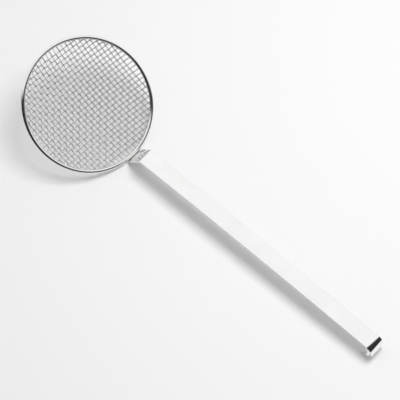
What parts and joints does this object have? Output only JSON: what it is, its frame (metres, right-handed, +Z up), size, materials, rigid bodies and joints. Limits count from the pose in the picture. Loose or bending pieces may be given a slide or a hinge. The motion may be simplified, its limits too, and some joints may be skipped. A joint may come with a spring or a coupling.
{
  "type": "kitchen skimmer",
  "caption": "Long-handled skimmer: a shallow round dish of woven steel wire in a rolled rim, on one flat steel strip that ends in a hook.",
  "frame": {"origin": "on the table, under the middle of the skimmer's length, in its plane of symmetry", "axes": "+X from the dish towards the hook, +Y across the handle, +Z up from the table it lies on"},
  "size_m": [0.4414, 0.14, 0.0744],
  "materials": {
    "polished_steel": "polished stainless steel",
    "wire_steel": "drawn stainless steel wire",
    "weld_steel": "brushed weld bead"
  },
  "bodies": {
    "root": {"rim_ring": "polished_steel", "handle": "polished_steel", "neck_weld": "weld_steel", "warp_wire_01": "wire_steel", "warp_wire_02": "wire_steel", "warp_wire_03": "wire_steel", "warp_wire_04": "wire_steel", "warp_wire_05": "wire_steel", "warp_wire_06": "wire_steel", "warp_wire_07": "wire_steel", "warp_wire_08": "wire_steel", "warp_wire_09": "wire_steel", "warp_wire_10": "wire_steel", "warp_wire_11": "wire_steel", "warp_wire_12": "wire_steel", "warp_wire_13": "wire_steel", "warp_wire_14": "wire_steel", "warp_wire_15": "wire_steel", "warp_wire_16": "wire_steel", "warp_wire_17": "wire_steel", "warp_wire_18": "wire_steel", "warp_wire_19": "wire_steel", "warp_wire_20": "wire_steel", "warp_wire_21": "wire_steel", "warp_wire_22": "wire_steel", "warp_wire_23": "wire_steel", "warp_wire_24": "wire_steel", "warp_wire_25": "wire_steel", "warp_wire_26": "wire_steel", "warp_wire_27": "wire_steel", "weft_wire_01": "wire_steel", "weft_wire_02": "wire_steel", "weft_wire_03": "wire_steel", "weft_wire_04": "wire_steel", "weft_wire_05": "wire_steel", "weft_wire_06": "wire_steel", "weft_wire_07": "wire_steel", "weft_wire_08": "wire_steel", "weft_wire_09": "wire_steel", "weft_wire_10": "wire_steel", "weft_wire_11": "wire_steel", "weft_wire_12": "wire_steel", "weft_wire_13": "wire_steel", "weft_wire_14": "wire_steel", "weft_wire_15": "wire_steel", "weft_wire_16": "wire_steel", "weft_wire_17": "wire_steel", "weft_wire_18": "wire_steel", "weft_wire_19": "wire_steel", "weft_wire_20": "wire_steel", "weft_wire_21": "wire_steel", "weft_wire_22": "wire_steel", "weft_wire_23": "wire_steel", "weft_wire_24": "wire_steel", "weft_wire_25": "wire_steel", "weft_wire_26": "wire_steel"}
  },
  "joints": []
}
